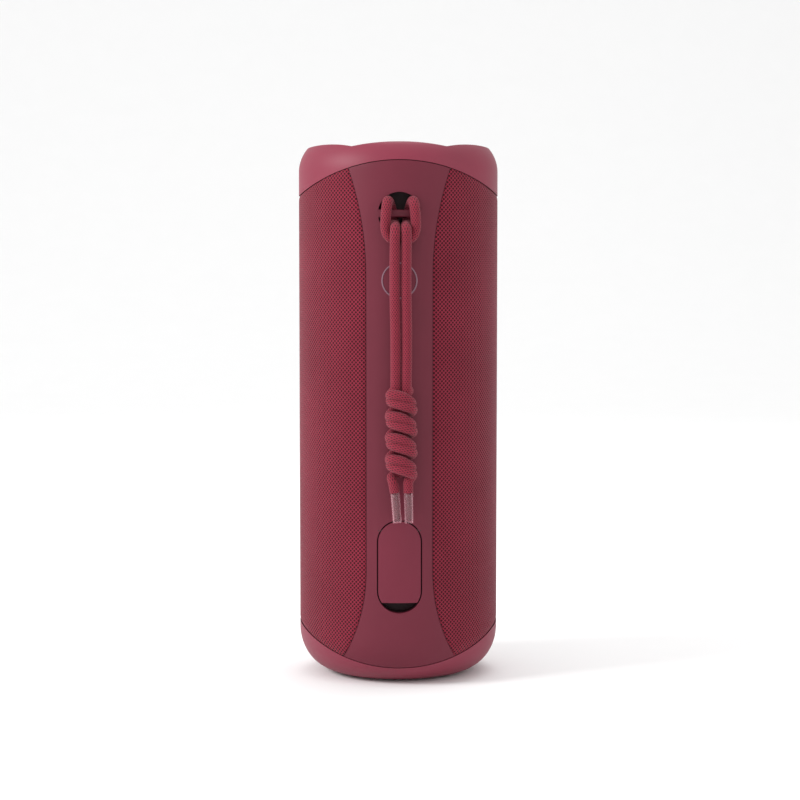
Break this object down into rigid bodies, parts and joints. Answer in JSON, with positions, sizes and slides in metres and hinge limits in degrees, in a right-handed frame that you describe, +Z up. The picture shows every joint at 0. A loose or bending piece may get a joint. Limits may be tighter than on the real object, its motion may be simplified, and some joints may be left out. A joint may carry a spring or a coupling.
{
  "type": "portable speaker",
  "caption": "Upright cylindrical portable speaker with a fabric cover, moulded end caps, a waisted spine panel, a port door and a knotted cord lanyard.",
  "frame": {"origin": "middle of the base, on the surface the speaker stands on", "axes": "+Z up along the cylinder, spine panel with the lanyard and ports towards -Y"},
  "size_m": [0.0788, 0.0898, 0.21],
  "materials": {
    "cap": "soft-touch moulded",
    "spine": "soft-touch moulded",
    "cover": "woven",
    "grille": "perforated sheet",
    "dark_plastic": "moulded",
    "rubber": "soft",
    "door_rubber": "soft",
    "light": "translucent",
    "steel": "plain",
    "board": "lacquered",
    "cell": "film wrapped",
    "magnet": "plain",
    "cone": "pressed",
    "cord": "braided",
    "aglet": "clear sleeve"
  },
  "bodies": {
    "speaker": {"top_end_cap": "cap", "bottom_end_cap": "cap", "base_pad": "rubber", "fabric_sleeve": "cover", "grille_shell": "grille", "spine_panel": "spine", "lanyard_cup": "dark_plastic", "lanyard_bar": "spine", "light_ring": "light", "door_hinge_pin": "steel", "port_recess": "dark_plastic", "usb_socket": "steel", "aux_socket": "dark_plastic", "main_board": "board", "power_switch": "dark_plastic", "battery_cells": "cell", "battery_holder": "dark_plastic", "board_spacers": "dark_plastic", "enclosure_tube": "dark_plastic", "driver_baffle": "dark_plastic", "top_radiator_frame": "dark_plastic", "top_radiator_roll": "rubber", "bottom_radiator_frame": "dark_plastic", "bottom_radiator_roll": "rubber", "top_radiator_screws": "steel", "bottom_radiator_screws": "steel", "upper_driver_basket": "steel", "upper_driver_magnet": "magnet", "upper_driver_surround": "rubber", "lower_driver_basket": "steel", "lower_driver_magnet": "magnet", "lower_driver_surround": "rubber"},
    "lanyard": {"lanyard_hitch": "cord", "lanyard_leg_left": "cord", "lanyard_leg_right": "cord", "lanyard_knot_1": "cord", "lanyard_knot_2": "cord", "lanyard_knot_3": "cord", "lanyard_knot_4": "cord", "lanyard_tail_left": "cord", "lanyard_tail_right": "cord", "lanyard_aglet_left": "aglet", "lanyard_aglet_right": "aglet"},
    "port_door": {"port_door": "door_rubber"},
    "power_key": {"power_key": "spine"},
    "volume_up_key": {"volume_up_key": "door_rubber"},
    "play_key": {"play_key": "door_rubber"},
    "volume_down_key": {"volume_down_key": "door_rubber"},
    "top_radiator": {"top_radiator_plate": "cone"},
    "bottom_radiator": {"bottom_radiator_plate": "cone"},
    "upper_cone": {"upper_driver_cone": "cone"},
    "lower_cone": {"lower_driver_cone": "cone"}
  },
  "joints": [
    {"name": "lanyard_swing", "type": "hinge", "parent": "speaker", "child": "lanyard", "pos_m": [0, -0.0379, 0.1825], "axis": [-1, 0, 0], "range_deg": [0, 90]},
    {"name": "door_hinge", "type": "hinge", "parent": "speaker", "child": "port_door", "pos_m": [0, -0.03825, 0.0611], "axis": [-1, 0, 0], "range_deg": [0, 90]},
    {"name": "power_press", "type": "slide", "parent": "speaker", "child": "power_key", "axis": [0, 1, 0], "range_m": [0, 0.0005], "stiffness_N_per_m": 800},
    {"name": "volume_up_press", "type": "slide", "parent": "speaker", "child": "volume_up_key", "axis": [0, -1, 0], "range_m": [0, 0.0006], "stiffness_N_per_m": 800},
    {"name": "play_press", "type": "slide", "parent": "speaker", "child": "play_key", "axis": [0, -1, 0], "range_m": [0, 0.0006], "stiffness_N_per_m": 800},
    {"name": "volume_down_press", "type": "slide", "parent": "speaker", "child": "volume_down_key", "axis": [0, -1, 0], "range_m": [0, 0.0006], "stiffness_N_per_m": 800},
    {"name": "top_radiator_travel", "type": "slide", "parent": "speaker", "child": "top_radiator", "axis": [0, 0, 1], "range_m": [-0.0025, 0.0025], "stiffness_N_per_m": 1200},
    {"name": "bottom_radiator_travel", "type": "slide", "parent": "speaker", "child": "bottom_radiator", "axis": [0, 0, 1], "range_m": [-0.0015, 0.0015], "stiffness_N_per_m": 1000},
    {"name": "upper_cone_travel", "type": "slide", "parent": "speaker", "child": "upper_cone", "axis": [0, 1, 0], "range_m": [-0.0012, 0.0012], "stiffness_N_per_m": 1000},
    {"name": "lower_cone_travel", "type": "slide", "parent": "speaker", "child": "lower_cone", "axis": [0, 1, 0], "range_m": [-0.0012, 0.0012], "stiffness_N_per_m": 1000}
  ]
}
